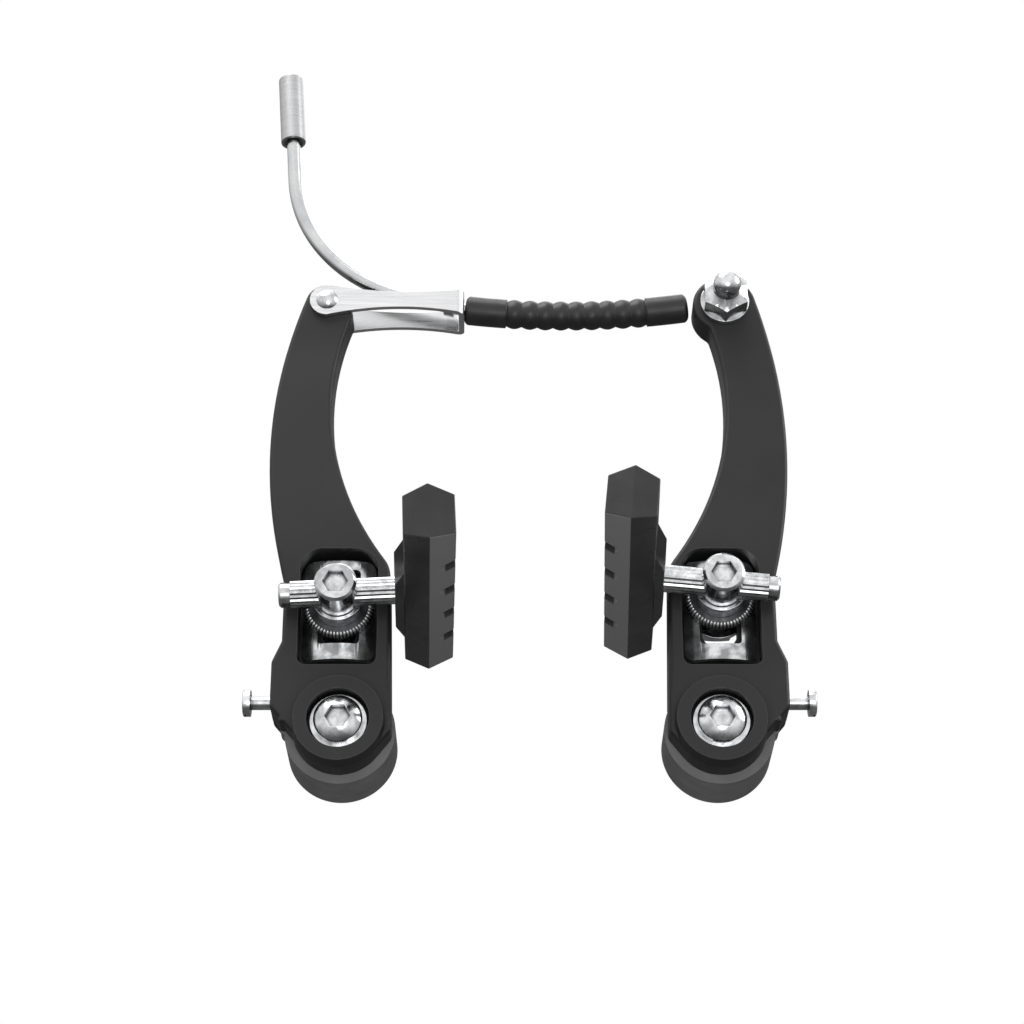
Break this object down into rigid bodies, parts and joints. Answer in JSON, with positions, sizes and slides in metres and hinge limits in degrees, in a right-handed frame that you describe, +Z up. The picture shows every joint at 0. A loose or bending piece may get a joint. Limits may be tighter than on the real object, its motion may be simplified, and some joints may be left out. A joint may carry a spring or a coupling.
{
  "type": "linear-pull rim brake",
  "caption": "Linear-pull bicycle rim brake: curved arms on pivot bushes, adjustable pads on ribbed posts, a bent cable guide in a riveted holder and a rubber bellows.",
  "frame": {"origin": "midway between the two frame bosses, on the plane that the pivot bushes seat on", "axes": "+X across the wheel from the noodle side to the anchor side, +Y from the front of the brake towards the frame, +Z up along the arms"},
  "size_m": [0.1278, 0.0702, 0.1884],
  "materials": {
    "arm_paint": "satin black paint",
    "housing_plastic": "matte grey-black",
    "bright_steel": "bright zinc plate",
    "sheet_steel": "satin bright sheet",
    "spring_steel": "drawn wire",
    "bush_steel": "turned",
    "noodle_steel": "polished tube",
    "ferrule_alloy": "satin turned",
    "liner_plastic": "smooth",
    "pad_rubber": "moulded",
    "boot_rubber": "moulded"
  },
  "bodies": {
    "pivots": {"left_pivot_bush": "bush_steel", "right_pivot_bush": "bush_steel", "left_pivot_bolt": "bright_steel", "right_pivot_bolt": "bright_steel", "left_bolt_washer": "bright_steel", "right_bolt_washer": "bright_steel", "left_return_spring": "spring_steel", "right_return_spring": "spring_steel"},
    "left_arm": {"left_arm": "arm_paint", "left_spring_housing": "housing_plastic", "left_slot_plate": "sheet_steel"},
    "right_arm": {"right_arm": "arm_paint", "right_spring_housing": "housing_plastic", "right_slot_plate": "sheet_steel", "anchor_bolt": "bright_steel", "anchor_washer": "bright_steel", "acorn_nut": "bright_steel"},
    "left_eyebolt": {"left_eyebolt": "bright_steel", "left_post_saddle": "bright_steel", "left_toe_in_washer": "bright_steel", "left_rear_washer": "bright_steel", "left_eyebolt_nut": "bright_steel"},
    "right_eyebolt": {"right_eyebolt": "bright_steel", "right_post_saddle": "bright_steel", "right_toe_in_washer": "bright_steel", "right_rear_washer": "bright_steel", "right_eyebolt_nut": "bright_steel"},
    "left_pad": {"left_pad_post": "bright_steel", "left_brake_pad": "pad_rubber"},
    "right_pad": {"right_pad_post": "bright_steel", "right_brake_pad": "pad_rubber"},
    "left_screw": {"left_tension_screw": "bright_steel"},
    "right_screw": {"right_tension_screw": "bright_steel"},
    "noodle_holder": {"noodle_holder": "sheet_steel", "holder_rivet": "bright_steel"},
    "noodle": {"noodle_tube": "noodle_steel", "noodle_liner": "liner_plastic", "noodle_ferrule": "ferrule_alloy", "cable_boot": "boot_rubber"}
  },
  "joints": [
    {"name": "left_arm_pivot", "type": "hinge", "parent": "pivots", "child": "left_arm", "pos_m": [-0.042, 0, 0], "axis": [0, 1, 0], "range_deg": [0, 6], "stiffness_Nm_per_rad": 0.8, "springref_deg": -20.05, "deforming": ["cable_boot", "left_return_spring"]},
    {"name": "right_arm_pivot", "type": "hinge", "parent": "pivots", "child": "right_arm", "pos_m": [0.042, 0, 0], "axis": [0, -1, 0], "range_deg": [0, 6], "stiffness_Nm_per_rad": 0.8, "springref_deg": -20.05, "deforming": ["right_return_spring"]},
    {"name": "holder_pivot", "type": "hinge", "parent": "left_arm", "child": "noodle_holder", "pos_m": [-0.048, -0.0121, 0.1085], "axis": [0, 1, 0], "range_deg": [-60, 40]},
    {"name": "noodle_swivel", "type": "hinge", "parent": "noodle_holder", "child": "noodle", "pos_m": [-0.0154, -0.0121, 0.1089], "axis": [0.9703, 0, -0.2419], "range_deg": [-20, 20]},
    {"name": "left_pad_height", "type": "slide", "parent": "left_arm", "child": "left_eyebolt", "axis": [0, 0, 1], "range_m": [-0.0039, 0.0046]},
    {"name": "right_pad_height", "type": "slide", "parent": "right_arm", "child": "right_eyebolt", "axis": [0, 0, 1], "range_m": [-0.0062, 0.0023]},
    {"name": "left_pad_reach", "type": "slide", "parent": "left_eyebolt", "child": "left_pad", "axis": [0.9988, 0, 0.0489], "range_m": [-0.0003, 0.005]},
    {"name": "right_pad_reach", "type": "slide", "parent": "right_eyebolt", "child": "right_pad", "axis": [-0.9952, 0, 0.0976], "range_m": [-0.0003, 0.005]},
    {"name": "left_tension_turn", "type": "hinge", "parent": "left_arm", "child": "left_screw", "pos_m": [-0.06, -0.011, 0.0075], "axis": [1, 0, 0], "range_deg": [-360, 360]},
    {"name": "right_tension_turn", "type": "hinge", "parent": "right_arm", "child": "right_screw", "pos_m": [0.06, -0.011, 0.0075], "axis": [-1, 0, 0], "range_deg": [-360, 360]}
  ],
  "couplings": [
    {"joint": "right_arm_pivot", "follows": "left_arm_pivot", "ratio": 1}
  ]
}
